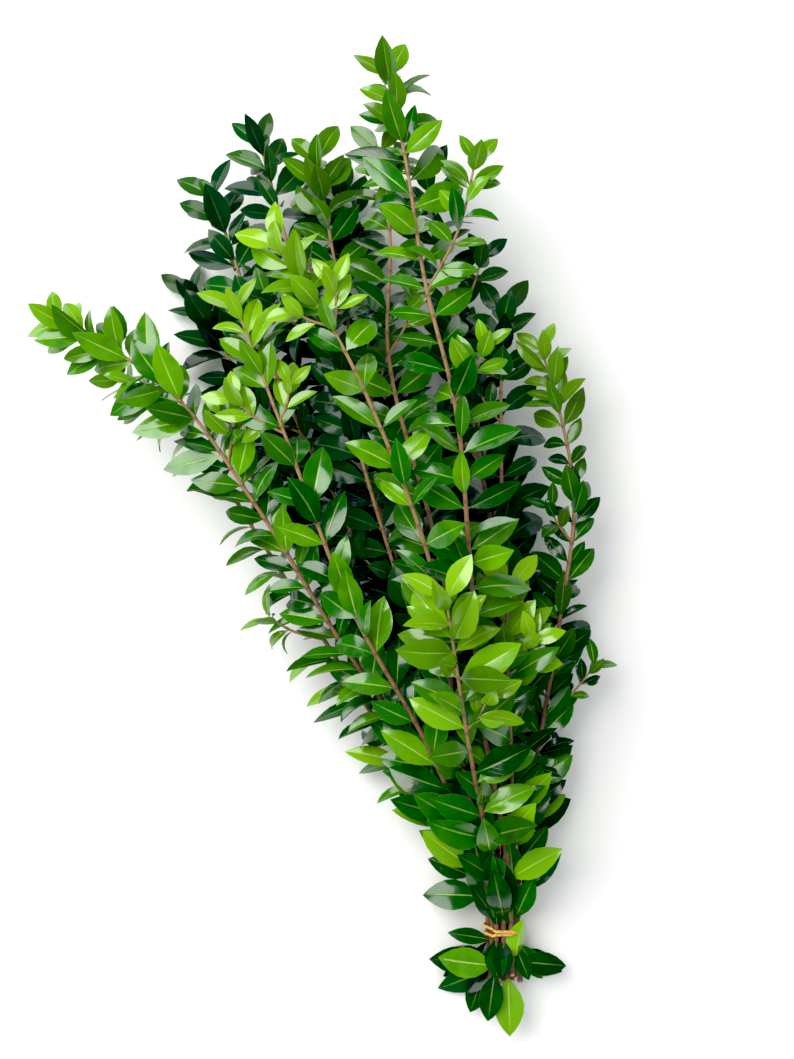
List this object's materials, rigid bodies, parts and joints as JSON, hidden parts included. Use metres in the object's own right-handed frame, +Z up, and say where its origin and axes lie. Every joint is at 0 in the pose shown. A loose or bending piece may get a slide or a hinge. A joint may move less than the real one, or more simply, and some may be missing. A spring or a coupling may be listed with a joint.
{
  "type": "boxwood bunch",
  "caption": "Bunch of cut, leafy boxwood stems held near their cut ends by a doubled rubber band, lying fanned out on a table.",
  "frame": {"origin": "centre of the bunch's footprint, on the table that it lies on", "axes": "+Y from the cut ends towards the tips, +Z up from the table, +X to the right as seen from above with the tips away"},
  "size_m": [0.354, 0.602, 0.1393],
  "materials": {
    "fresh_leaf": "smooth waxy leaf, bright yellow-green with a pale rib, glossy above and paler below",
    "green_leaf": "smooth waxy leaf, mid green with a pale rib, glossy above and paler below",
    "deep_leaf": "smooth waxy leaf, deep blue-green with a pale rib, satin above and paler below",
    "bark": "dull brown bark, tan on young shoots",
    "rubber": "matt tan rubber"
  },
  "bodies": {
    "root": {"leafy_stem_centre_short": "fresh_leaf", "leafy_stem_centre_left": "fresh_leaf", "leafy_stem_centre_long": "fresh_leaf", "leafy_stem_left_inner": "fresh_leaf", "leafy_stem_right_front": "fresh_leaf", "leafy_stem_left_arm": "fresh_leaf", "leafy_stem_centre_back": "green_leaf", "leafy_stem_right_edge": "green_leaf", "leafy_stem_left_edge": "green_leaf", "leafy_stem_dark_left": "deep_leaf", "leafy_stem_back_mid": "green_leaf", "leafy_stem_right_dark": "deep_leaf", "leafy_stem_back_mid_left": "deep_leaf", "leafy_stem_back_left": "deep_leaf", "leafy_stem_back_right": "deep_leaf", "leafy_stem_right_low": "deep_leaf", "leafy_stem_under_left": "deep_leaf", "leafy_stem_under_mid": "deep_leaf", "leafy_stem_under_right": "deep_leaf", "rubber_band": "rubber"}
  },
  "joints": []
}
